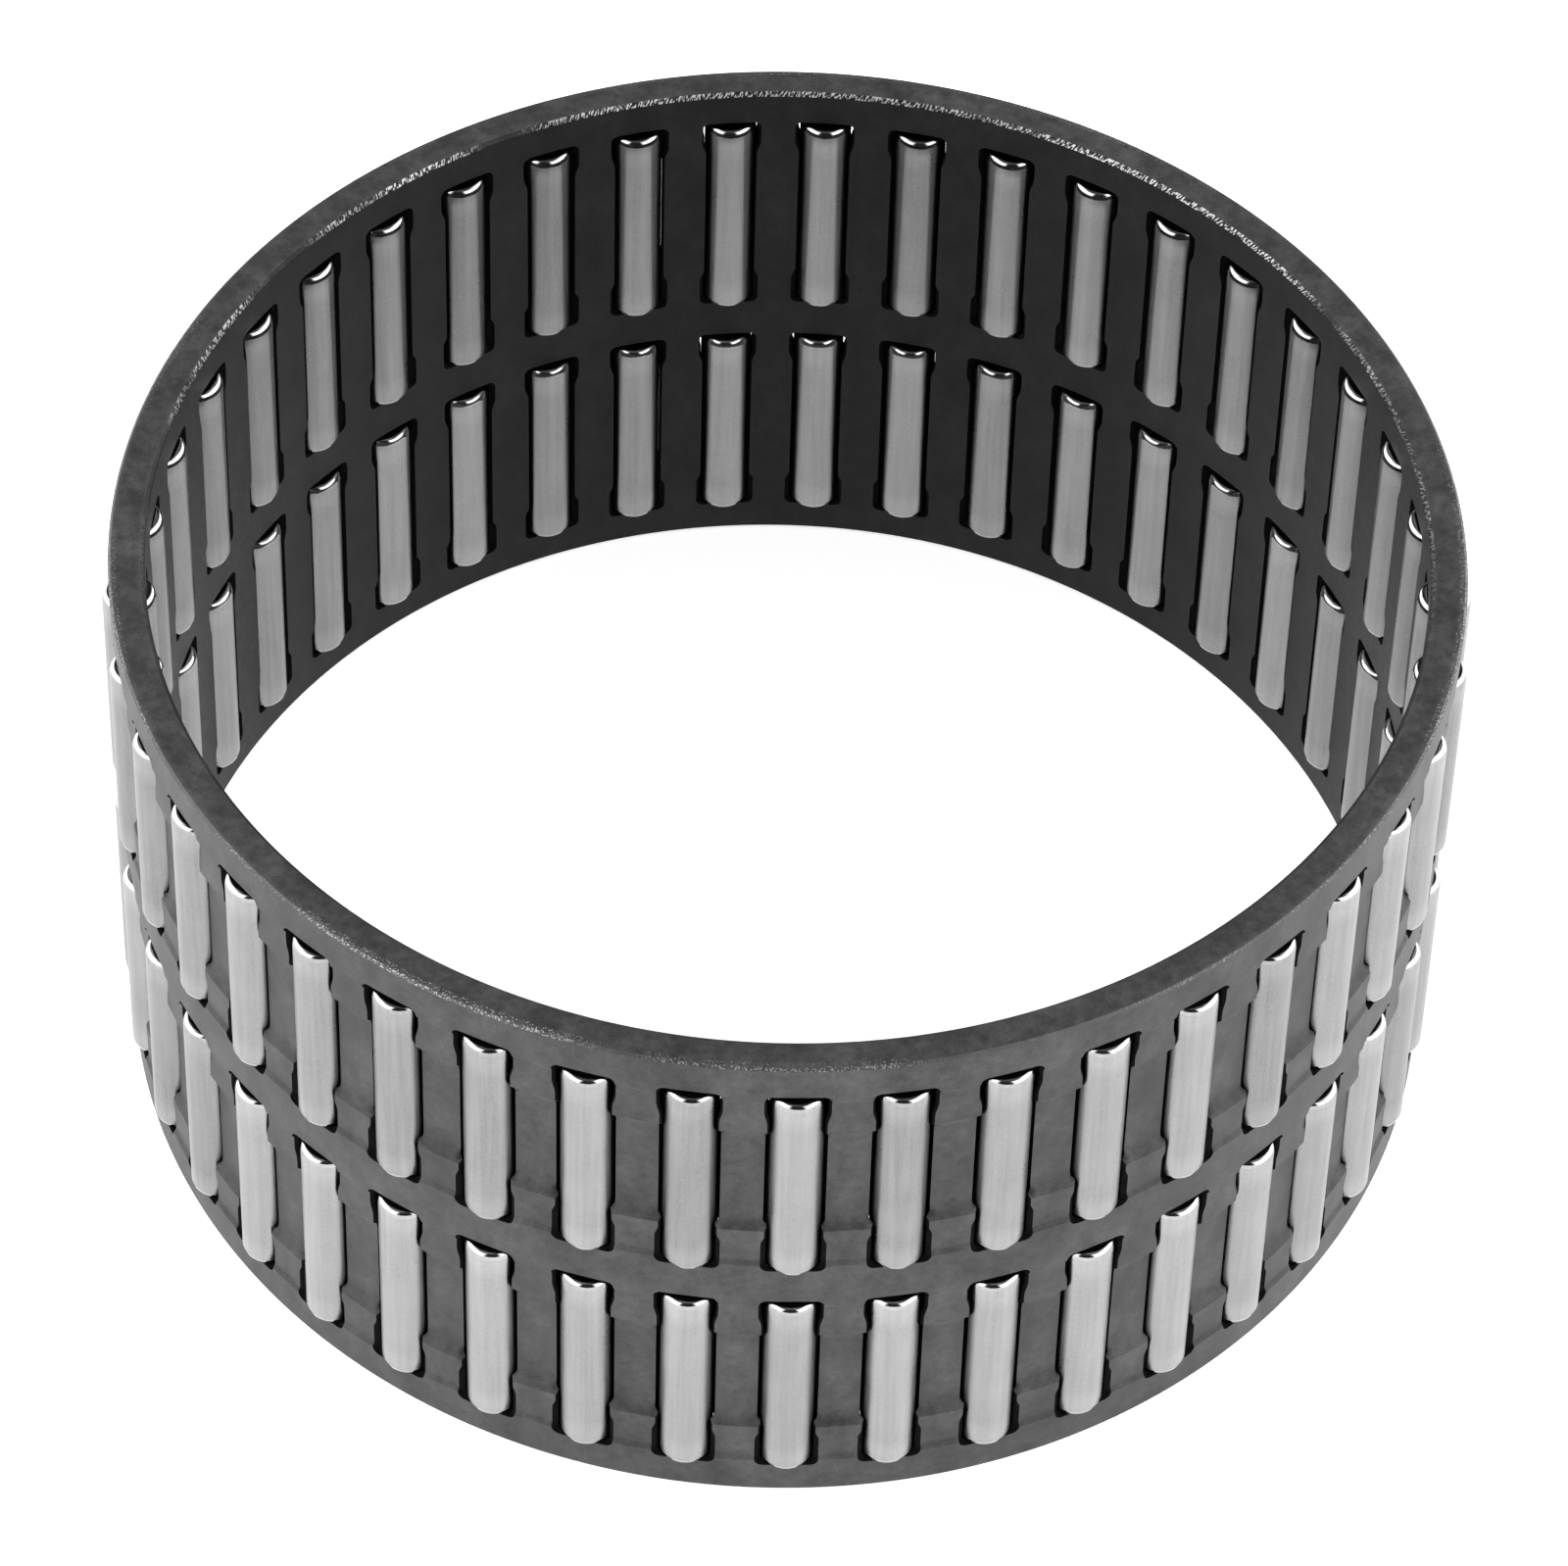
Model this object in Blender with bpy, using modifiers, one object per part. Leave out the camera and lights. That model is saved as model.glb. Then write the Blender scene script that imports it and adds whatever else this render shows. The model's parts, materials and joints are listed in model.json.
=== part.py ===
"""Double-row radial needle roller and cage assembly, with no rings of its own.

The bearing's axis is Z, and its centre is the origin. A steel cage, turned from a tube, holds two
rows of needle rollers. The pockets of the two rows lie in line, so each of the POSITIONS round the
ring holds one upper and one lower roller. All sizes are in metres.
"""

import math

import bmesh
import bpy
from mathutils import Matrix, Vector

MM = 0.001

# Driving dimensions
CAGE_OUTER_RADIUS = 49.6 * MM
CAGE_INNER_RADIUS = 46.85 * MM
CAGE_HEIGHT = 49.0 * MM
EDGE_CHAMFER = 0.3 * MM

POSITIONS = 41
PITCH_RADIUS = 48.2 * MM
ROW_HEIGHT = 11.6 * MM

ROLLER_RADIUS = 2.0 * MM
ROLLER_LENGTH = 19.2 * MM
ROLLER_END_ROUNDING = 0.5 * MM

# Outside of the cage: the land lies below the rims, and a recess is turned across each row
LAND_DEPTH = 0.22 * MM
LAND_HALF_LENGTH = 8.9 * MM
LAND_RAMP = 0.4 * MM
RECESS_DEPTH = 0.6 * MM
RECESS_HALF_LENGTH = 5.55 * MM
RECESS_RAMP = 1.0 * MM

# A pocket is widest at the pitch radius, so its lips keep the roller from falling in or out
POCKET_LENGTH = ROLLER_LENGTH + 0.5 * MM
POCKET_HALF_WIDTH = 2.28 * MM
LIP_HALF_WIDTH = 1.98 * MM
CORNER_RELIEF_WIDTH = 4.8 * MM
CORNER_RELIEF_LENGTH = 2.4 * MM
CUTTER_REACH = 2.5 * MM

# The first positions hold their two rollers joined by a thin neck through the cage's middle rib
JOINED_POSITIONS = 23
NECK_RADIUS = 0.5 * MM
NECK_HOLE_RADIUS = 0.85 * MM

CAGE_STEPS = 2 * POSITIONS
ROLLER_STEPS = 16
NECK_HOLE_STEPS = 8
MERGE_DISTANCE = 1e-6


def clear_scene():
    for obj in list(bpy.data.objects):
        bpy.data.objects.remove(obj, do_unlink=True)


def new_collection(name):
    collection = bpy.data.collections.new(name)
    bpy.context.scene.collection.children.link(collection)
    return collection


def steel(name, color, roughness, metallic):
    material = bpy.data.materials.new(name)
    material.use_nodes = True
    shader = material.node_tree.nodes["Principled BSDF"]
    shader.inputs["Base Color"].default_value = (*color, 1.0)
    shader.inputs["Roughness"].default_value = roughness
    shader.inputs["Metallic"].default_value = metallic
    return material


def turned_profile(name, points, closed):
    """A mesh of edges in the XZ plane, through (radius, z) points given down the outer side."""
    mesh = bpy.data.meshes.new(name)
    count = len(points)
    edges = [(i, (i + 1) % count) for i in range(count if closed else count - 1)]
    mesh.from_pydata([(radius, 0, z) for radius, z in points], edges, [])
    return mesh


def add_screw(obj, steps):
    screw = obj.modifiers.new("Turn", "SCREW")
    screw.axis = "Z"
    screw.angle = math.tau
    screw.steps = steps
    screw.render_steps = steps
    screw.use_merge_vertices = True
    screw.merge_threshold = MERGE_DISTANCE
    screw.use_smooth_shade = True


def add_cut(obj, cutter):
    cut = obj.modifiers.new(cutter.name, "BOOLEAN")
    cut.operation = "DIFFERENCE"
    cut.solver = "EXACT"
    cut.object = cutter


def add_object(name, mesh, collection, material=None):
    obj = bpy.data.objects.new(name, mesh)
    collection.objects.link(obj)
    if material:
        mesh.materials.clear()
        mesh.materials.append(material)
    return obj


def at_position(position, z=0.0):
    """Placement of something on the pitch circle, with its X axis pointing away from the centre."""
    turn = Matrix.Rotation(math.tau * position / POSITIONS, 4, "Z")
    return turn @ Matrix.Translation((PITCH_RADIUS, 0, z))


def cage_profile():
    """Cross-section of the cage before the pockets are cut."""
    top = CAGE_HEIGHT / 2
    land = CAGE_OUTER_RADIUS - LAND_DEPTH
    floor = land - RECESS_DEPTH
    row = [
        (CAGE_OUTER_RADIUS, LAND_HALF_LENGTH + LAND_RAMP),
        (land, LAND_HALF_LENGTH),
        (land, RECESS_HALF_LENGTH),
        (floor, RECESS_HALF_LENGTH - RECESS_RAMP),
    ]
    row += [(radius, -z) for radius, z in reversed(row)]
    upper_half = [
        (CAGE_INNER_RADIUS, top - EDGE_CHAMFER),
        (CAGE_INNER_RADIUS + EDGE_CHAMFER, top),
        (CAGE_OUTER_RADIUS - EDGE_CHAMFER, top),
        (CAGE_OUTER_RADIUS, top - EDGE_CHAMFER),
    ]
    upper_half += [(radius, ROW_HEIGHT + z) for radius, z in row]
    return upper_half + [(radius, -z) for radius, z in reversed(upper_half)]


def roller_profile(z, inner_end=0.0):
    """Outline of one roller centred at height z. Its lower end face starts at radius inner_end."""
    half = ROLLER_LENGTH / 2
    flat = ROLLER_RADIUS - ROLLER_END_ROUNDING
    return [
        (0, z + half),
        (flat, z + half),
        (ROLLER_RADIUS, z + half - ROLLER_END_ROUNDING),
        (ROLLER_RADIUS, z - half + ROLLER_END_ROUNDING),
        (flat, z - half),
        (inner_end, z - half),
    ]


def pair_profile():
    """Outline of an upper and a lower roller on one axis, joined by the neck."""
    upper = roller_profile(ROW_HEIGHT, NECK_RADIUS)
    return upper + [(radius, -z) for radius, z in reversed(upper)]


def box_mesh(name, size):
    mesh = bpy.data.meshes.new(name)
    bm = bmesh.new()
    bmesh.ops.create_cube(bm, size=1.0)
    bmesh.ops.scale(bm, vec=Vector(size), verts=bm.verts)
    bm.to_mesh(mesh)
    bm.free()
    return mesh


def pocket_mesh():
    """Cutter for one pocket: a bar that is widest half way through, where the roller's axis is."""
    length = POCKET_LENGTH - CORNER_RELIEF_LENGTH / 2
    mesh = box_mesh("pocket", (2 * CUTTER_REACH, 2 * POCKET_HALF_WIDTH, length))
    narrowing = POCKET_HALF_WIDTH - LIP_HALF_WIDTH
    to_land = CAGE_OUTER_RADIUS - LAND_DEPTH - PITCH_RADIUS
    to_bore = PITCH_RADIUS - CAGE_INNER_RADIUS
    bm = bmesh.new()
    bm.from_mesh(mesh)
    through = [e for e in bm.edges if abs(e.verts[0].co.x - e.verts[1].co.x) > CUTTER_REACH]
    bmesh.ops.subdivide_edges(bm, edges=through, cuts=1, use_grid_fill=True)
    for vert in bm.verts:
        slope = narrowing / (to_land if vert.co.x > 0 else to_bore)
        half_width = POCKET_HALF_WIDTH - slope * abs(vert.co.x)
        vert.co.y = math.copysign(half_width, vert.co.y)
    bm.to_mesh(mesh)
    bm.free()
    return mesh


def neck_hole_mesh():
    mesh = bpy.data.meshes.new("neck_hole")
    bm = bmesh.new()
    bmesh.ops.create_cone(
        bm,
        cap_ends=True,
        segments=NECK_HOLE_STEPS,
        radius1=NECK_HOLE_RADIUS,
        radius2=NECK_HOLE_RADIUS,
        depth=2 * ROW_HEIGHT - POCKET_LENGTH + CORNER_RELIEF_LENGTH / 2,
    )
    bm.to_mesh(mesh)
    bm.free()
    return mesh


def add_cutter(name, mesh, placements, collection):
    """One cutter object holding a copy of the mesh at each placement."""
    bm = bmesh.new()
    for placement in placements:
        copy = mesh.copy()
        copy.transform(placement)
        bm.from_mesh(copy)
        bpy.data.meshes.remove(copy)
    joined = bpy.data.meshes.new(name)
    bm.to_mesh(joined)
    bm.free()
    cutter = add_object(name, joined, collection)
    cutter.hide_render = True
    cutter.display_type = "WIRE"
    return cutter


def add_cage(parts, cutters, material):
    cage = add_object("cage", turned_profile("cage", cage_profile(), True), parts, material)
    add_screw(cage, CAGE_STEPS)
    positions = range(POSITIONS)
    rows = (ROW_HEIGHT, -ROW_HEIGHT)
    pockets = [at_position(i, z) for i in positions for z in rows]
    add_cut(cage, add_cutter("pockets", pocket_mesh(), pockets, cutters))

    relief_offset = (POCKET_LENGTH - CORNER_RELIEF_LENGTH) / 2
    relief_size = (2 * CUTTER_REACH, CORNER_RELIEF_WIDTH, CORNER_RELIEF_LENGTH)
    relief_heights = [z + end * relief_offset for z in rows for end in (1, -1)]
    reliefs = [at_position(i, z) for i in positions for z in relief_heights]
    relief = box_mesh("corner_relief", relief_size)
    add_cut(cage, add_cutter("corner_reliefs", relief, reliefs, cutters))

    holes = [at_position(i) for i in range(JOINED_POSITIONS)]
    add_cut(cage, add_cutter("neck_holes", neck_hole_mesh(), holes, cutters))


def add_roller(name, profile, position, z, parts, material):
    roller = add_object(name, profile, parts, material)
    add_screw(roller, ROLLER_STEPS)
    roller.matrix_world = at_position(position, z)


def add_rollers(parts, material):
    """Every roller has its origin on its own axis, which runs parallel to Z on the pitch circle."""
    single = turned_profile("roller", roller_profile(0.0), False)
    pair = turned_profile("roller_pair", pair_profile(), False)
    for position in range(POSITIONS):
        number = f"{position + 1:02d}"
        if position < JOINED_POSITIONS:
            add_roller("roller_pair_" + number, pair, position, 0.0, parts, material)
        else:
            add_roller("roller_upper_" + number, single, position, ROW_HEIGHT, parts, material)
            add_roller("roller_lower_" + number, single, position, -ROW_HEIGHT, parts, material)


def main():
    clear_scene()
    parts = new_collection("needle_roller_bearing")
    cutters = new_collection("cutters")
    blackened_steel = steel("blackened_steel", (0.09, 0.09, 0.095), 0.5, 0.8)
    ground_steel = steel("ground_steel", (0.55, 0.55, 0.56), 0.25, 1.0)
    add_cage(parts, cutters, blackened_steel)
    add_rollers(parts, ground_steel)


main()
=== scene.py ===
"""Looks of the double-row needle roller bearing: a detailed cage and its needle rollers, in metres."""

import json
import math
import random

import bmesh
import bpy
from mathutils import Matrix, Vector


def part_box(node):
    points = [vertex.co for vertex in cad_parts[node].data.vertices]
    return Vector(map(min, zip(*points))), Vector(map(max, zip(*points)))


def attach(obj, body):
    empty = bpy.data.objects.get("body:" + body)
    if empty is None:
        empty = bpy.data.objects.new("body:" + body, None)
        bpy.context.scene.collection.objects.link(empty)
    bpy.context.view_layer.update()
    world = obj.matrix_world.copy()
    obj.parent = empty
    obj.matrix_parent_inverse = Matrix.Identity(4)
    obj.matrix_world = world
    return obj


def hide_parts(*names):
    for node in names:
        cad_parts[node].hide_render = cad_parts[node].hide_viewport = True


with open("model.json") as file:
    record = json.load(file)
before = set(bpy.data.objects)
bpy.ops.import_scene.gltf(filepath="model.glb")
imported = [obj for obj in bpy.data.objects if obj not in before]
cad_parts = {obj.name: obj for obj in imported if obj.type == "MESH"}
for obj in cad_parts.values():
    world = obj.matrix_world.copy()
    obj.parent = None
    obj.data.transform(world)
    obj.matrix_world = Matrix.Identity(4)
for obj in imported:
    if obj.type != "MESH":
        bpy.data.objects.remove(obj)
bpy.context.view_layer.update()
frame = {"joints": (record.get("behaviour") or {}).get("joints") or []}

MM = 0.001

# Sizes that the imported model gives
CAGE_LOW, CAGE_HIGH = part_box("cage")
CAGE_OUTER_RADIUS = CAGE_HIGH.x
CAGE_HALF_HEIGHT = CAGE_HIGH.z
SINGLE_LOW, SINGLE_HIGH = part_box("roller_upper_41")
PAIR_LOW, PAIR_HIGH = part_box("roller_pair_01")
ROLLER_LENGTH = SINGLE_HIGH.z - SINGLE_LOW.z
ROLLER_RADIUS = (PAIR_HIGH.x - PAIR_LOW.x) / 2 - 0.01 * MM
PITCH_RADIUS = (PAIR_HIGH.x + PAIR_LOW.x) / 2
ROW_HEIGHT = (SINGLE_HIGH.z + SINGLE_LOW.z) / 2
FLOOR_HEIGHT = CAGE_LOW.z

# Sizes of the cage that repeat the design
POSITIONS = 41
CAGE_INNER_RADIUS = 46.92 * MM
EDGE_CHAMFER = 0.2 * MM
INNER_CHAMFER = 0.3 * MM
RIM_BAND = 0.4 * MM
RIM_DROP = 0.04 * MM
LAND_DEPTH = 0.22 * MM
LAND_HALF_LENGTH = 8.9 * MM
LAND_RAMP = 0.4 * MM
RECESS_DEPTH = 0.6 * MM
RECESS_HALF_LENGTH = 5.55 * MM
RECESS_FILLET = 1.6 * MM
EDGE_BEVEL = 0.07 * MM

# A pocket's mouths are narrower than its belly, and its four corners are cut wider. Each level gives
# a radius and the half widths between the long walls, at the upper corners and at the lower corners.
# The upper corners are shorter than the lower ones, and all of them blend into the long walls.
POCKET_LENGTH = ROLLER_LENGTH + 0.5 * MM
LAND_RADIUS = CAGE_OUTER_RADIUS - LAND_DEPTH
POCKET_LEVELS = (
    (CAGE_INNER_RADIUS - 0.5 * MM, 1.98 * MM, 2.3 * MM, 2.3 * MM),
    (CAGE_INNER_RADIUS + 0.3 * MM, 1.98 * MM, 2.3 * MM, 2.3 * MM),
    (CAGE_INNER_RADIUS + 0.6 * MM, 1.872 * MM, 2.15 * MM, 1.97 * MM),
    (CAGE_INNER_RADIUS + 0.95 * MM, 2.2 * MM, 2.24 * MM, 2.24 * MM),
    (LAND_RADIUS - 0.5 * MM, 2.2 * MM, 2.24 * MM, 2.24 * MM),
    (LAND_RADIUS - 0.3 * MM, 1.92 * MM, 2.15 * MM, 1.97 * MM),
    (LAND_RADIUS, 2.1 * MM, 2.35 * MM, 2.35 * MM),
    (CAGE_OUTER_RADIUS + 0.5 * MM, 2.1 * MM, 2.35 * MM, 2.35 * MM),
)
RELIEF_CORNER = 0.6 * MM
UPPER_RELIEF = (2.0 * MM, 1.4 * MM)
LOWER_RELIEF = (2.8 * MM, 0.9 * MM)

# Next to its ends a roller tapers a little, and then turns round a small arc into the flat end
END_TAPER = (0.06 * MM, 0.52 * MM)
END_ROUNDING = 0.4 * MM
ROUNDING_START = 20
END_BAND = 1.5 * MM

TAPER_BLEND = (0.01 * MM, 0.03 * MM)

# Loose in their pockets, the rollers rest this much below the pockets' middle
ROLLER_DROP = (0.2 * MM, 0.235 * MM)

# Direction from the axis of the one knocked place on the outer edge
KNOCKED_PLACE = (-0.485, -0.875, 0.0)

SECTOR_ANGLE = math.tau / POSITIONS
SECTOR_LENGTH = PITCH_RADIUS * SECTOR_ANGLE
BAR_SPARE = 1.1 * MM
BEND_CUTS = (0, 0.6 * MM, 1.2 * MM, 1.75 * MM, 2.6 * MM, 3.15 * MM)
BEVEL_ANGLE = 25
BLEND_STEPS = 5
CORNER_STEPS = 5
FILLET_STEPS = 5
END_STEPS = 7
ROLLER_STEPS = 40
CUT_TOLERANCE = 1e-8
MERGE_DISTANCE = 1e-6

# Material slots of the cage, after the first, which is the outside
BORE, EDGE, RIM, CORNER, WALL, CHATTER = 1, 2, 3, 4, 5, 6

# Base colours, as the share of light that is sent back. A roller's is raised at its tips and end bands,
# and by OWN_TONE times its own tone, from -1 to 1, to which the upper rollers add a darker painted shade.
# The bore's tone, darker than the outside's, is painted shade.
BORE_PAINTED_SHADE_TONE = 0.011
OUTSIDE_TONE = 0.048
# The pocket walls' near-black tones are painted shade.
WALL_PAINTED_SHADE_TONES = (0.004, 0.014)
WORN_TONE = 0.75
CHATTER_TONE = 0.5
ROLLER_TONE = 0.22
TIP_TONE = 0.14
BAND_TONE = 0.04
OWN_TONE = 0.03
# The upper rollers' darker tone is painted shade.
UPPER_ROLLER_PAINTED_SHADE = -1.0

# The camera aims almost at the centre. Angles are in degrees, the lens is in millimetres.
CAMERA_AIM = (0.0002, 0, -0.0023)
CAMERA_DISTANCE = 0.6016
CAMERA_TILT = 48.92
CAMERA_ROLL = 1.79
CAMERA_LENS = 182.9

SIDE_LIGHT = 2.85
TOP_LIGHT = 0.1
DIM_LIGHT = 0.03


# ---------------------------------------------------------------- node helpers


class Nodes:
    """Short names for adding and joining the nodes of one material or world."""

    def __init__(self, owner):
        owner.use_nodes = True
        self.tree = owner.node_tree
        self.tree.nodes.clear()

    def add(self, kind, inputs=None, **settings):
        node = self.tree.nodes.new(kind)
        for name, value in settings.items():
            setattr(node, name, value)
        for name, value in (inputs or {}).items():
            self.give(node.inputs[name], value)
        return node

    def give(self, socket, value):
        if isinstance(value, bpy.types.NodeSocket):
            self.tree.links.new(value, socket)
        else:
            socket.default_value = value

    def math(self, operation, *values):
        node = self.add("ShaderNodeMath", operation=operation)
        for socket, value in zip(node.inputs, values):
            self.give(socket, value)
        return node.outputs[0]

    def product(self, first, *others):
        for other in others:
            first = self.math("MULTIPLY", first, other)
        return first

    def vary(self, value, amount, level):
        """The value times the amount, plus the level."""
        return self.math("MULTIPLY_ADD", value, amount, level)

    def ramp(self, value, low, high, to_low=0.0, to_high=1.0):
        """Smooth step of value from to_low at low to to_high at high."""
        inputs = {"Value": value, "From Min": low, "From Max": high, "To Min": to_low, "To Max": to_high}
        node = self.add("ShaderNodeMapRange", interpolation_type="SMOOTHSTEP", clamp=True)
        for name, number in inputs.items():
            self.give(node.inputs[name], number)
        return node.outputs["Result"]

    def noise(self, vector, scale, detail=3.0, roughness=0.55):
        inputs = {"Vector": vector, "Scale": scale, "Detail": detail, "Roughness": roughness}
        return self.add("ShaderNodeTexNoise", inputs).outputs["Fac"]

    def mix(self, factor, first, second):
        node = self.add("ShaderNodeMix", data_type="RGBA")
        for index, value in ((0, factor), (6, first), (7, second)):
            self.give(node.inputs[index], value)
        return node.outputs[2]

    def scaled(self, vector, x, y, z):
        node = self.add("ShaderNodeVectorMath", operation="MULTIPLY")
        self.give(node.inputs[0], vector)
        node.inputs[1].default_value = (x, y, z)
        return node.outputs[0]

    def parts(self, vector):
        return self.add("ShaderNodeSeparateXYZ", {"Vector": vector}).outputs

    def bump(self, height, strength, distance):
        inputs = {"Height": height, "Strength": strength, "Distance": distance}
        return self.add("ShaderNodeBump", inputs).outputs[0]

    def surface(self, inputs):
        """The material's shader and its output."""
        shader = self.add("ShaderNodeBsdfPrincipled", inputs)
        self.add("ShaderNodeOutputMaterial", {"Surface": shader.outputs[0]})


def grey(value):
    return (value, value, value, 1.0)


# ---------------------------------------------------------------- materials
# Places are in metres, so a noise's scale is about the number of its spots in a metre.


def blackening(nodes, place, outside, grain, fine, darkness):
    """Colour of the blackened steel, with clouds, smudges and grain; its darker tone in the bore is painted
    shade.
    """
    mottle = nodes.noise(place, 160.0)
    smudges = nodes.noise(nodes.scaled(place, 1, 1, 0.6), 520.0)
    lift = nodes.product(
        nodes.vary(mottle, 1.0, 0.5),
        nodes.vary(smudges, 1.3, 0.35),
        nodes.vary(grain, 1.1, 0.45),
        nodes.vary(fine, 0.8, 0.6),
    )
    # The bore's darker tone is painted shade inside the ring.
    tone = nodes.mix(outside, grey(BORE_PAINTED_SHADE_TONE * darkness), grey(OUTSIDE_TONE * darkness))
    shade = nodes.add("ShaderNodeVectorMath", {0: tone}, operation="SCALE")
    nodes.give(shade.inputs["Scale"], lift)
    return shade.outputs[0]


def chatter_marks(nodes, place, heading):
    """Noise drawn out into short leaning marks side by side, as a chattering tool leaves them."""
    around = nodes.math("ARCTAN2", heading["Y"], heading["X"])
    height = nodes.parts(place)["Z"]
    leaning = nodes.vary(height, 3600.0, nodes.product(around, 300.0))
    marks = nodes.add("ShaderNodeCombineXYZ", {"X": leaning, "Y": nodes.product(height, 3500.0)})
    return nodes.noise(marks.outputs[0], 1.0, detail=1.0)


def cage_wear(nodes, place, radius, wear, chatter):
    """How much of the surface is rubbed bright at each point, from 0 to 1.

    It is rubbed along the inner edges, from nothing on the side toward -Y to full on the side toward +Y, a
    little on the outer edges, and at one place that was knocked.
    """
    flat = nodes.scaled(place, 1, 1, 0)
    direction = nodes.add("ShaderNodeVectorMath", {0: flat}, operation="NORMALIZE").outputs[0]
    heading = nodes.parts(direction)
    toward = nodes.add("ShaderNodeVectorMath", {0: direction}, operation="DOT_PRODUCT")
    toward.inputs[1].default_value = KNOCKED_PLACE

    inner_edge = nodes.ramp(radius, CAGE_INNER_RADIUS + 0.8 * MM, CAGE_INNER_RADIUS + 1.0 * MM, 1.0, 0.0)
    outer_edge = nodes.ramp(radius, PITCH_RADIUS, PITCH_RADIUS + 0.2 * MM)
    patches = nodes.ramp(nodes.noise(place, 70.0), 0.62 - 0.3 * wear, 0.8 - 0.25 * wear)
    rubbed = nodes.product(inner_edge, nodes.ramp(heading["Y"], -0.35, 0.95), patches)
    knocked = nodes.product(nodes.ramp(toward.outputs["Value"], 0.96, 0.985, 0.0, 0.4), outer_edge)
    nicks = nodes.product(outer_edge, patches, 0.3)
    share = nodes.math("MAXIMUM", nodes.math("MAXIMUM", rubbed, knocked), nicks)

    specks = chatter_marks(nodes, place, heading) if chatter else nodes.noise(place, 6500.0, detail=2.0)
    specks = nodes.ramp(specks, 0.66 - 0.18 * wear, 0.76 - 0.18 * wear)
    return nodes.product(share, specks, min(1.0, 1.5 * wear))


def cage_material(name, wear=0.0, darkness=1.0, gloss=0.25, chatter=False):
    """Blackened steel. wear is how much of the surface is rubbed back to bright metal, from 0 to 1.

    The bright places are fine specks, or the leaning marks that a chattering tool leaves.
    """
    material = bpy.data.materials.new(name)
    nodes = Nodes(material)
    place = nodes.add("ShaderNodeTexCoord").outputs["Object"]
    flat = nodes.scaled(place, 1, 1, 0)
    radius = nodes.add("ShaderNodeVectorMath", {0: flat}, operation="LENGTH").outputs["Value"]
    outside = nodes.ramp(radius, CAGE_INNER_RADIUS + 0.02 * MM, CAGE_INNER_RADIUS + 0.06 * MM)
    grain = nodes.noise(place, 1500.0)
    fine = nodes.noise(place, 9000.0, detail=1.0)
    turning = nodes.noise(nodes.scaled(place, 20, 20, 9000), 1.0, detail=2.0)

    shade = blackening(nodes, place, outside, grain, fine, darkness)
    worn = cage_wear(nodes, place, radius, wear, chatter)
    height = nodes.math("ADD", nodes.product(fine, 0.35), nodes.product(grain, 0.5))
    height = nodes.math("ADD", height, nodes.product(turning, outside, 0.5))
    inputs = {
        "Base Color": nodes.mix(worn, shade, grey(CHATTER_TONE if chatter else WORN_TONE)),
        "Roughness": nodes.vary(grain, 0.2, 0.38),
        "Metallic": nodes.vary(worn, 0.5, 0.3),
        "Specular IOR Level": gloss,
        "Normal": nodes.bump(height, 0.25, 0.02 * MM),
    }
    nodes.surface(inputs)
    return material


def wall_material():
    """The pockets' walls: milled, blackened and never rubbed steel, painted near-black and without specular
    as painted shade, so they stay the darkest.
    """
    material = bpy.data.materials.new("blackened_steel_pockets_painted_shade")
    nodes = Nodes(material)
    place = nodes.add("ShaderNodeTexCoord").outputs["Object"]
    grain = nodes.noise(place, 2500.0)
    # Near-black colour, and IOR 1.0 which takes away the specular, paint the shade inside the pockets.
    inputs = {
        "Base Color": nodes.mix(grain, grey(WALL_PAINTED_SHADE_TONES[0]), grey(WALL_PAINTED_SHADE_TONES[1])),
        "Roughness": 0.6,
        "Metallic": 0.0,
        "IOR": 1.0,
        "Normal": nodes.bump(grain, 0.3, 0.02 * MM),
    }
    nodes.surface(inputs)
    return material


def roller_material(name, polished):
    """Ground bearing steel: satin on the running surface, polished on the ends."""
    material = bpy.data.materials.new(name)
    nodes = Nodes(material)
    place = nodes.add("ShaderNodeTexCoord").outputs["Object"]
    streaks = nodes.noise(nodes.scaled(place, 2600, 2600, 90), 1.0, detail=3.0)
    cloud = nodes.noise(place, 260.0, detail=4.0)
    fine = nodes.noise(place, 7000.0, detail=1.0)

    level = nodes.vary(streaks, 0.12, ROLLER_TONE)
    level = nodes.math("ADD", level, nodes.vary(cloud, 0.08, -0.04))
    level = nodes.math("ADD", level, nodes.vary(fine, 0.09, -0.045))
    # The rollers' own tone also carries the upper rollers' painted shade.
    for attribute, tone in (("end_tip", TIP_TONE), ("end_band", BAND_TONE), ("tone_and_painted_shade", OWN_TONE)):
        share = nodes.add("ShaderNodeAttribute", attribute_name=attribute).outputs["Fac"]
        level = nodes.vary(share, tone, level)
    color = nodes.add("ShaderNodeCombineColor", {"Red": level, "Green": level, "Blue": level})

    height = nodes.math("ADD", streaks, nodes.product(fine, 0.3))
    inputs = {
        "Base Color": color.outputs[0],
        "Roughness": nodes.vary(cloud, 0.12, 0.04 if polished else 0.23),
        "Metallic": 1.0,
        "Anisotropic": 0.0 if polished else 0.85,
        "Anisotropic Rotation": 0.25,
        "Tangent": nodes.add("ShaderNodeTangent", direction_type="RADIAL", axis="Z").outputs[0],
        "Normal": nodes.bump(height, 0.03 if polished else 0.12, 0.01 * MM),
    }
    nodes.surface(inputs)
    return material


# ---------------------------------------------------------------- mesh helpers


def add_object(name, data):
    obj = bpy.data.objects.new(name, data)
    bpy.context.scene.collection.objects.link(obj)
    return obj


def evaluated_mesh(obj):
    """The object's mesh with its modifiers applied. The object is removed."""
    graph = bpy.context.evaluated_depsgraph_get()
    mesh = bpy.data.meshes.new_from_object(obj.evaluated_get(graph))
    bpy.data.objects.remove(obj, do_unlink=True)
    return mesh


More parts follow.
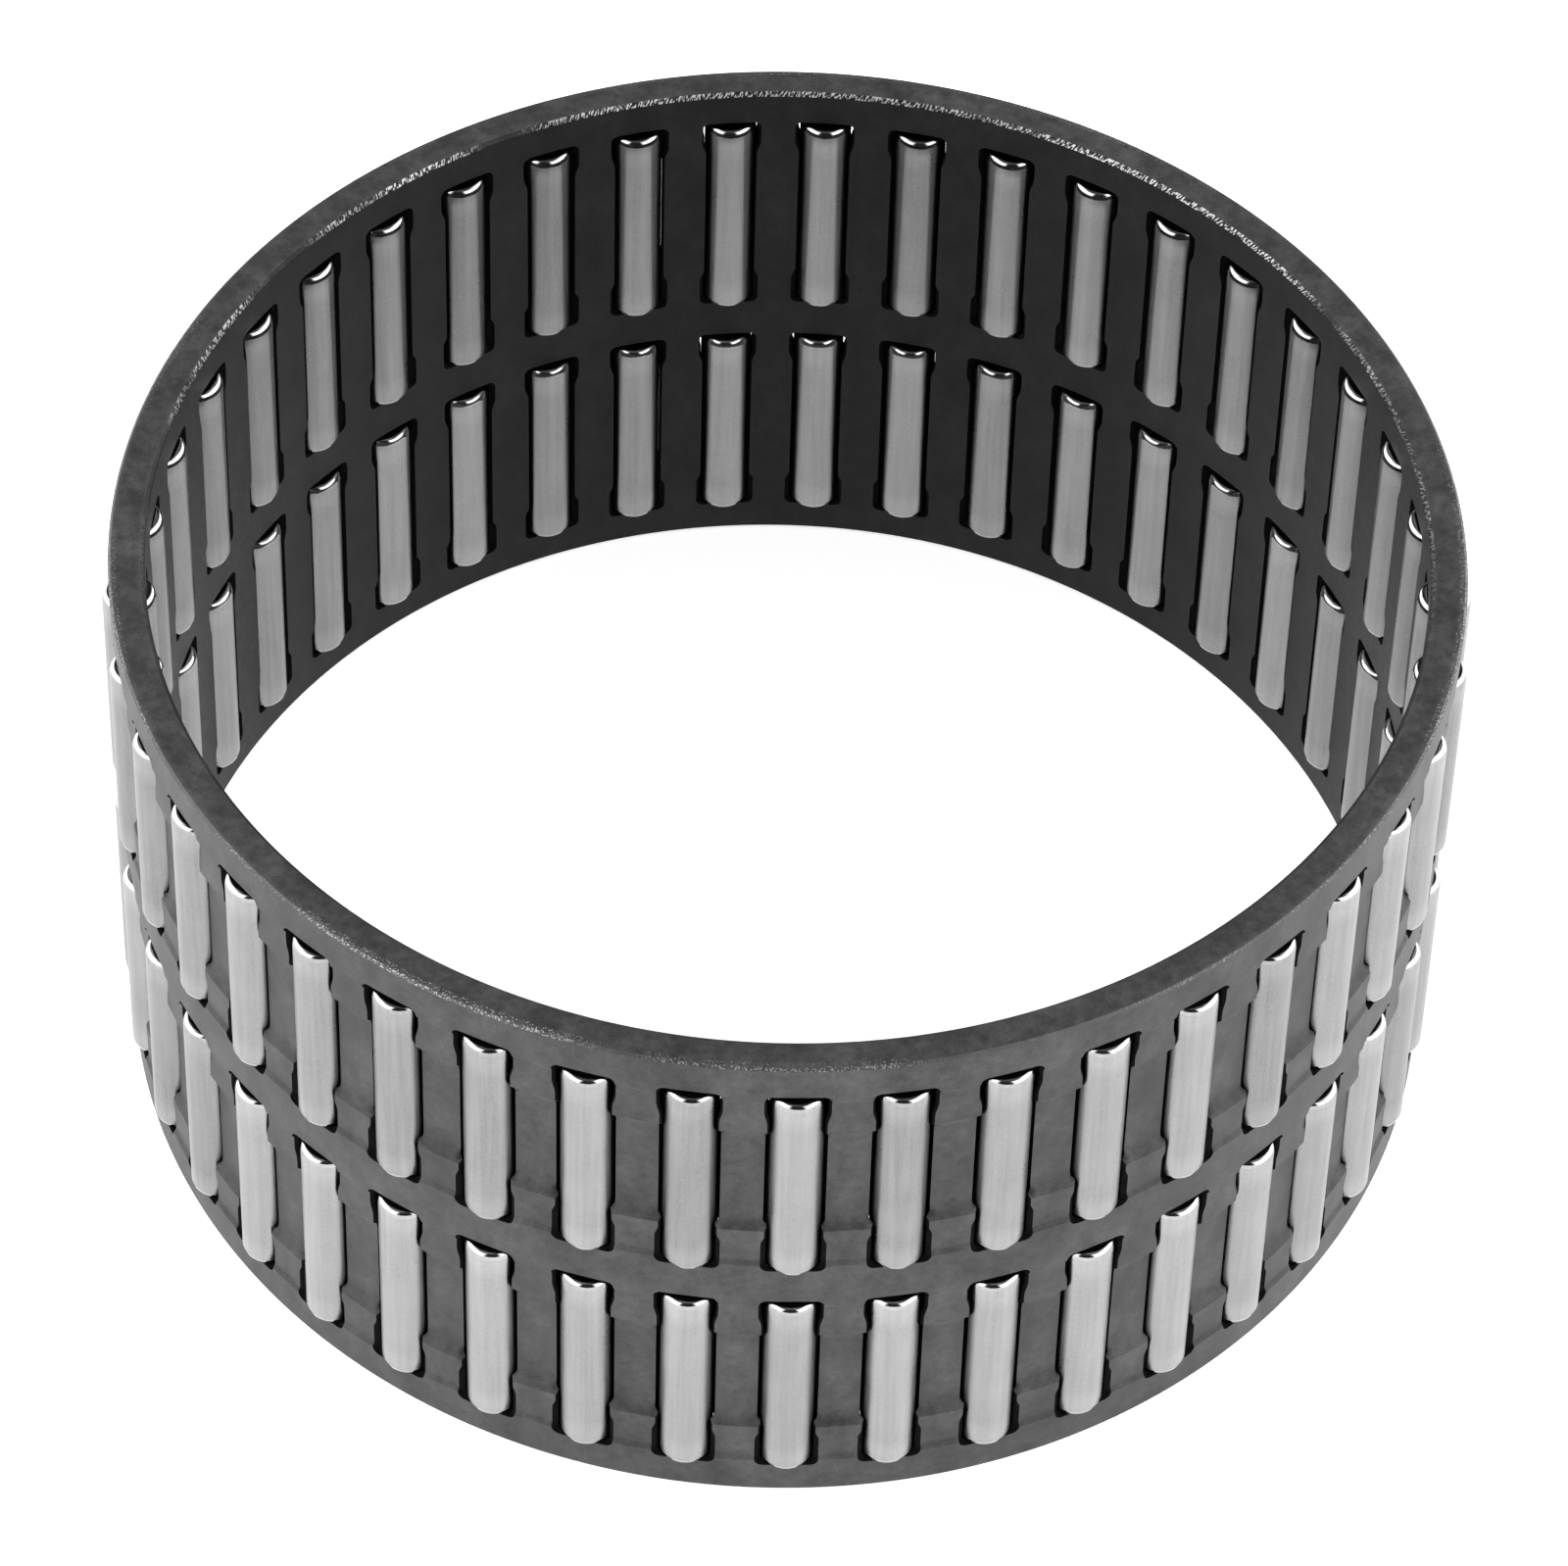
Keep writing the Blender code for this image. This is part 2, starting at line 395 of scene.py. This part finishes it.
def arc(centre, radius, start, end, steps):
    """Points on a circular arc, with both angles in degrees."""
    points = []
    for step in range(steps + 1):
        angle = math.radians(start + (end - start) * step / steps)
        points.append((centre[0] + radius * math.cos(angle), centre[1] + radius * math.sin(angle)))
    return points


# ---------------------------------------------------------------- cage
# One sector of the cage is cut as a straight bar: X runs along the pitch circle, Y is the radius and
# Z the height. The bar is then bent round the axis and repeated.


def cage_section():
    """Cross-section of the cage as (radius, height) points, down the outside and up the inside."""
    top = CAGE_HALF_HEIGHT
    fillet_angle = math.degrees(math.acos(1 - RECESS_DEPTH / RECESS_FILLET))
    centre_radius = LAND_RADIUS - RECESS_DEPTH + RECESS_FILLET
    centre_height = RECESS_HALF_LENGTH - RECESS_FILLET * math.sin(math.radians(fillet_angle))
    row = [(CAGE_OUTER_RADIUS, LAND_HALF_LENGTH + LAND_RAMP), (LAND_RADIUS, LAND_HALF_LENGTH)]
    row += arc((centre_radius, centre_height), RECESS_FILLET, 180 - fillet_angle, 180, FILLET_STEPS)
    row += [(radius, -z) for radius, z in reversed(row)]
    inner, outer = CAGE_INNER_RADIUS + INNER_CHAMFER, CAGE_OUTER_RADIUS - EDGE_CHAMFER
    upper = [
        (CAGE_INNER_RADIUS, top - RIM_DROP - INNER_CHAMFER),
        (inner, top - RIM_DROP),
        (inner + RIM_BAND, top),
        (outer - RIM_BAND, top),
        (outer, top - RIM_DROP),
        (CAGE_OUTER_RADIUS, top - RIM_DROP - EDGE_CHAMFER),
    ]
    upper += [(radius, ROW_HEIGHT + z) for radius, z in row]
    return upper + [(radius, -z) for radius, z in reversed(upper)]


def straight_bar():
    half = SECTOR_LENGTH / 2 + BAR_SPARE
    bm = bmesh.new()
    ring = [bm.verts.new((-half, radius, z)) for radius, z in cage_section()]
    face = bm.faces.new(ring)
    extruded = bmesh.ops.extrude_face_region(bm, geom=[face])
    moved = [item for item in extruded["geom"] if isinstance(item, bmesh.types.BMVert)]
    bmesh.ops.translate(bm, vec=(2 * half, 0, 0), verts=moved)
    bmesh.ops.recalc_face_normals(bm, faces=bm.faces)
    mesh = bpy.data.meshes.new("cage_bar")
    bm.to_mesh(mesh)
    bm.free()
    return mesh


def pocket_corner(half_width, corner_width, relief):
    """Points up one side of a pocket's end: the blend from the long wall, then the round corner."""
    height, blend = relief
    end = POCKET_LENGTH / 2
    points = []
    for step in range(BLEND_STEPS + 1):
        share = step / BLEND_STEPS
        widened = share * share * (3 - 2 * share)
        along = half_width + (corner_width - half_width) * widened
        points.append((along, end - height - blend * (1 - share)))
    centre = (corner_width - RELIEF_CORNER, end - RELIEF_CORNER)
    return points + arc(centre, RELIEF_CORNER, 0, 90, CORNER_STEPS)


def pocket_outline(half_width, upper_width, lower_width):
    """Outline of a pocket as (along, height) points, anticlockwise from its right-hand wall."""
    upper = pocket_corner(half_width, upper_width, UPPER_RELIEF)
    lower = pocket_corner(half_width, lower_width, LOWER_RELIEF)
    outline = upper + [(-along, z) for along, z in reversed(upper)]
    outline += [(-along, -z) for along, z in lower]
    return outline + [(along, -z) for along, z in reversed(lower)]


def pocket_cutter(row_height, materials):
    bm = bmesh.new()
    rings = []
    for radius, *widths in POCKET_LEVELS:
        # Lengths along the bar shrink towards the axis when it is bent, so they are stretched first.
        stretch = PITCH_RADIUS / radius
        outline = pocket_outline(*widths)
        rings.append([bm.verts.new((along * stretch, radius, row_height + z)) for along, z in outline])
    count = len(rings[0])
    for lower, upper in zip(rings, rings[1:]):
        for i in range(count):
            j = (i + 1) % count
            bm.faces.new((lower[i], lower[j], upper[j], upper[i]))
    bm.faces.new(rings[0])
    bm.faces.new(rings[-1])
    bmesh.ops.recalc_face_normals(bm, faces=bm.faces)
    for face in bm.faces:
        face.material_index = WALL
    mesh = bpy.data.meshes.new("pocket")
    bm.to_mesh(mesh)
    bm.free()
    for material in materials:
        mesh.materials.append(material)
    return mesh


def cut_bar(materials):
    """The bar with its two pockets and rounded edges."""
    bar = add_object("cage_bar", straight_bar())
    for material in materials:
        bar.data.materials.append(material)
    cutters = []
    for z in (ROW_HEIGHT, -ROW_HEIGHT):
        cutter = add_object("pocket", pocket_cutter(z, materials))
        cut = bar.modifiers.new("Pocket", "BOOLEAN")
        cut.operation = "DIFFERENCE"
        cut.solver = "EXACT"
        cut.object = cutter
        cutters.append(cutter)
    bevel = bar.modifiers.new("Edges", "BEVEL")
    bevel.limit_method = "ANGLE"
    bevel.angle_limit = math.radians(BEVEL_ANGLE)
    bevel.width = EDGE_BEVEL
    bevel.segments = 1
    bevel.material = EDGE
    mesh = evaluated_mesh(bar)
    for cutter in cutters:
        bpy.data.objects.remove(cutter, do_unlink=True)
    return mesh


def cut_across(bm, along, outward=0):
    """Cuts the bar at one place along it. With outward -1 or 1, what lies beyond it that way is removed."""
    bmesh.ops.bisect_plane(
        bm,
        geom=bm.verts[:] + bm.edges[:] + bm.faces[:],
        dist=CUT_TOLERANCE,
        plane_co=(along, 0, 0),
        plane_no=(outward or 1, 0, 0),
        clear_outer=bool(outward),
    )


def bend(vert, turn):
    angle = turn - vert.co.x / PITCH_RADIUS
    radius = vert.co.y
    vert.co = Vector((radius * math.cos(angle), radius * math.sin(angle), vert.co.z))


def rim_slot(face):
    """Material slot of a face at the cage's two ends, or None for a face anywhere else."""
    centre = face.calc_center_median()
    depth = CAGE_HALF_HEIGHT - abs(centre.z)
    slope = abs(face.normal.z)
    if centre.y < PITCH_RADIUS:
        return CHATTER if depth < RIM_DROP + INNER_CHAMFER and slope < 0.99 else None
    if depth > RIM_DROP + EDGE_CHAMFER or slope > 0.9999:
        return None
    return CORNER if slope < 0.95 else RIM


def cage_mesh(materials):
    bm = bmesh.new()
    bm.from_mesh(cut_bar(materials))
    for side in (-1, 1):
        cut_across(bm, side * SECTOR_LENGTH / 2, outward=side)
    # Cuts across the bar, kept off the pockets' long walls, let it bend smoothly.
    for along in sorted({side * cut for cut in BEND_CUTS for side in (-1, 1)}):
        cut_across(bm, along)
    for face in bm.faces:
        slot = rim_slot(face)
        if slot is not None:
            face.material_index = slot
        elif face.material_index == 0 and face.calc_center_median().y < CAGE_INNER_RADIUS + 0.01 * MM:
            face.material_index = BORE
    sector = bpy.data.meshes.new("cage_sector")
    bm.to_mesh(sector)
    bm.free()

    ring = bmesh.new()
    for position in range(POSITIONS):
        first = len(ring.verts)
        ring.from_mesh(sector)
        ring.verts.ensure_lookup_table()
        for vert in ring.verts[first:]:
            bend(vert, position * SECTOR_ANGLE)
    bmesh.ops.remove_doubles(ring, verts=ring.verts, dist=MERGE_DISTANCE)
    bmesh.ops.recalc_face_normals(ring, faces=ring.faces)
    for face in ring.faces:
        face.smooth = True
    mesh = bpy.data.meshes.new("cage_body")
    ring.to_mesh(mesh)
    ring.free()
    bpy.data.meshes.remove(sector)
    for material in materials:
        mesh.materials.append(material)
    return mesh


def add_cage():
    materials = [
        cage_material("blackened_steel"),
        # The bore's copy has a lower specular level, which adds to the painted shade in the bore.
        cage_material("blackened_steel_bore_painted_shade", gloss=0.14),
        cage_material("blackened_steel_edges", wear=0.5, gloss=0.2),
        cage_material("blackened_steel_rim_edges", wear=0.6),
        cage_material("blackened_steel_corners", wear=0.8, darkness=0.4, gloss=1.0),
        wall_material(),
        cage_material("blackened_steel_chatter", wear=0.95, darkness=0.4, gloss=0.14, chatter=True),
    ]
    cage = add_object("cage_body", cage_mesh(materials))
    normals = cage.modifiers.new("Normals", "WEIGHTED_NORMAL")
    normals.weight = 100
    normals.keep_sharp = True
    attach(cage, "cage")
    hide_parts("cage")
    return cage


# ---------------------------------------------------------------- rollers


def roller_mesh():
    """A needle roller standing on its axis at the origin, with rounded end edges."""
    half = ROLLER_LENGTH / 2
    taper, taper_start = END_TAPER
    blend_depth, blend_length = TAPER_BLEND
    reach = ROLLER_RADIUS - taper - END_ROUNDING * math.cos(math.radians(ROUNDING_START))
    upper = [(0, half), (ROLLER_RADIUS * 0.4, half)]
    upper += arc((reach, half - END_ROUNDING), END_ROUNDING, 90, ROUNDING_START, END_STEPS)
    upper.append((ROLLER_RADIUS - blend_depth, half - taper_start + blend_length))
    heights = (half - taper_start, half - END_BAND, half - 2 * END_BAND, half / 2)
    upper += [(ROLLER_RADIUS, height) for height in heights]
    profile = upper + [(radius, -z) for radius, z in reversed(upper)]
    mesh = bpy.data.meshes.new("roller_profile")
    edges = [(i, i + 1) for i in range(len(profile) - 1)]
    mesh.from_pydata([(radius, 0, z) for radius, z in profile], edges, [])
    obj = add_object("roller_profile", mesh)
    screw = obj.modifiers.new("Turn", "SCREW")
    screw.steps = ROLLER_STEPS
    screw.render_steps = ROLLER_STEPS
    screw.use_merge_vertices = True
    screw.merge_threshold = MERGE_DISTANCE
    turned = evaluated_mesh(obj)
    turned.shade_smooth()
    turned.materials.append(None)
    turned.materials.append(None)
    for face in turned.polygons:
        face.material_index = 1 if abs(face.center.z) > half - taper_start else 0
    return turned


def set_attribute(mesh, name, value_of):
    attribute = mesh.attributes.new(name, "FLOAT", "POINT")
    attribute.data.foreach_set("value", [value_of(vert.co) for vert in mesh.vertices])


def end_band(point):
    return 1.0 if abs(point.z) > ROLLER_LENGTH / 2 - END_BAND * 1.01 else 0.0


def end_tip(point):
    return 1.0 if abs(point.z) > ROLLER_LENGTH / 2 - 0.6 * END_ROUNDING else 0.0


def add_roller(name, pattern, body, axis, height, materials, rng):
    """One roller, with a tone of its own, resting a little low in its pocket. The upper ones get a darker
    painted shade.
    """
    mesh = pattern.copy()
    # The upper rollers' darker tone is painted shade.
    tone_and_painted_shade = rng.uniform(-1, 1) + (UPPER_ROLLER_PAINTED_SHADE if height > 0 else 0.0)
    turn = rng.uniform(0, math.tau)
    drop = rng.uniform(*ROLLER_DROP)
    set_attribute(mesh, "end_band", end_band)
    set_attribute(mesh, "end_tip", end_tip)
    set_attribute(mesh, "tone_and_painted_shade", lambda point: tone_and_painted_shade)
    mesh.transform(Matrix.Translation((axis[0], axis[1], height - drop)) @ Matrix.Rotation(turn, 4, "Z"))
    for index, material in enumerate(materials):
        mesh.materials[index] = material
    roller = add_object(name, mesh)
    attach(roller, body)
    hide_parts(body)


def add_rollers():
    pattern = roller_mesh()
    materials = [roller_material("ground_steel", False), roller_material("polished_steel", True)]
    rng = random.Random(7)
    for joint in frame["joints"]:
        body = joint["child"]
        number = body[-2:]
        rows = {"upper": (1,), "lower": (-1,), "pair": (1, -1)}[body.split("_")[1]]
        for side in rows:
            name = f"needle_{'upper' if side > 0 else 'lower'}_{number}"
            add_roller(name, pattern, body, joint["pos_m"], side * ROW_HEIGHT, materials, rng)
    bpy.data.meshes.remove(pattern)


# ---------------------------------------------------------------- floor, lights and camera


def add_floor():
    mesh = bpy.data.meshes.new("floor")
    bm = bmesh.new()
    bmesh.ops.create_grid(bm, x_segments=1, y_segments=1, size=4.0)
    bm.to_mesh(mesh)
    bm.free()
    floor = add_object("floor", mesh)
    floor.location.z = FLOOR_HEIGHT - 0.1 * MM
    material = bpy.data.materials.new("floor_white")
    inputs = {
        "Base Color": grey(0.9),
        "Roughness": 0.9,
        "Specular IOR Level": 0.1,
        "Emission Color": grey(1.0),
        "Emission Strength": 0.7,
    }
    Nodes(material).surface(inputs)
    mesh.materials.append(material)


def add_sky():
    """A dark studio with a wide bright wall on the left and the right, and a dimmer ceiling light."""
    world = bpy.data.worlds.new("studio")
    bpy.context.scene.world = world
    nodes = Nodes(world)
    direction = nodes.add("ShaderNodeTexCoord").outputs["Generated"]
    height = nodes.parts(direction)["Z"]
    level = nodes.add("ShaderNodeVectorMath", {0: nodes.scaled(direction, 1, 1, 0)}, operation="NORMALIZE")
    across = nodes.math("ABSOLUTE", nodes.parts(level.outputs[0])["X"])
    sides = nodes.product(nodes.ramp(across, 0.38, 0.6), nodes.ramp(height, 0.82, 0.94, 1.0, 0.0))
    top = nodes.ramp(height, 0.86, 0.95, 0.0, TOP_LIGHT)
    strength = nodes.math("ADD", nodes.vary(sides, SIDE_LIGHT, top), DIM_LIGHT)
    background = nodes.add("ShaderNodeBackground", {"Color": grey(1.0), "Strength": strength})
    nodes.add("ShaderNodeOutputWorld", {"Surface": background.outputs[0]})


def add_camera():
    camera = bpy.data.cameras.new("camera")
    camera.sensor_width = 36.0
    camera.lens = CAMERA_LENS
    camera.clip_start = 0.01
    camera.clip_end = 50.0
    holder = add_object("camera", camera)
    tilt = math.radians(CAMERA_TILT)
    away = Vector((0, -math.cos(tilt), math.sin(tilt)))
    place = Matrix.Translation(Vector(CAMERA_AIM) + away * CAMERA_DISTANCE)
    turn = away.to_track_quat("Z", "Y").to_matrix().to_4x4()
    roll = Matrix.Rotation(math.radians(CAMERA_ROLL), 4, "Z")
    holder.matrix_world = place @ turn @ roll
    bpy.context.scene.camera = holder


add_cage()
add_rollers()
add_floor()
add_sky()
add_camera()
bpy.context.scene.view_settings.view_transform = "Standard"
